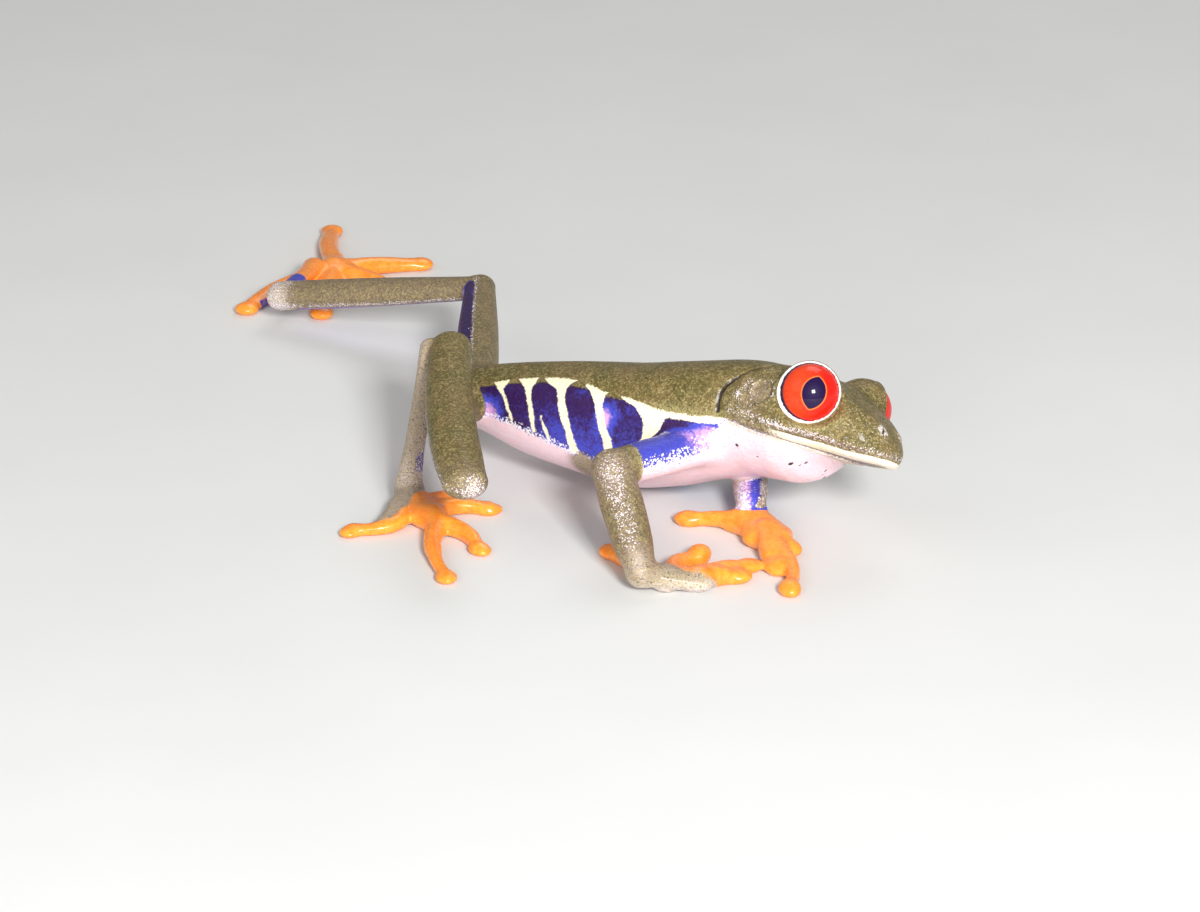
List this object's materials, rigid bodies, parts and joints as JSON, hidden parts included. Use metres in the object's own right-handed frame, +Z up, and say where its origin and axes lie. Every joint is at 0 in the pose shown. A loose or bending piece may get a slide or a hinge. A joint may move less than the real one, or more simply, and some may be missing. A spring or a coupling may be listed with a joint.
{
  "type": "tree frog model",
  "caption": "Life-size still model of a red-eyed tree frog, crouched with one hind leg stretched out behind and resting on its digits.",
  "frame": {"origin": "on the floor, under the middle of the model's bounding box", "axes": "+X the frog's heading, +Y its left, +Z up"},
  "size_m": [0.0992, 0.0838, 0.0191],
  "materials": {
    "olive_skin": "satin, finely granular, moist-looking",
    "orange_skin": "smooth and moist-looking",
    "cream_skin": "satin, finely granular",
    "red_eye": "polished, clear-coated"
  },
  "bodies": {
    "root": {"eye_left": "red_eye", "eye_right": "red_eye", "finger_left_1": "orange_skin", "finger_left_2": "orange_skin", "finger_left_3": "orange_skin", "finger_left_4": "orange_skin", "finger_right_1": "orange_skin", "finger_right_2": "orange_skin", "finger_right_3": "orange_skin", "finger_right_4": "orange_skin", "foot_left": "orange_skin", "foot_right": "orange_skin", "forearm_left": "olive_skin", "forearm_right": "olive_skin", "hand_left": "orange_skin", "hand_right": "orange_skin", "head": "olive_skin", "lower_jaw": "cream_skin", "shank_left": "olive_skin", "shank_right": "olive_skin", "tarsus_left": "olive_skin", "tarsus_right": "olive_skin", "thigh_left": "olive_skin", "thigh_right": "olive_skin", "toe_left_1": "orange_skin", "toe_left_2": "orange_skin", "toe_left_3": "orange_skin", "toe_left_4": "orange_skin", "toe_left_5": "orange_skin", "toe_right_1": "orange_skin", "toe_right_2": "orange_skin", "toe_right_3": "orange_skin", "toe_right_4": "orange_skin", "toe_right_5": "orange_skin", "trunk": "olive_skin", "upper_arm_left": "olive_skin", "upper_arm_right": "olive_skin"}
  },
  "joints": []
}
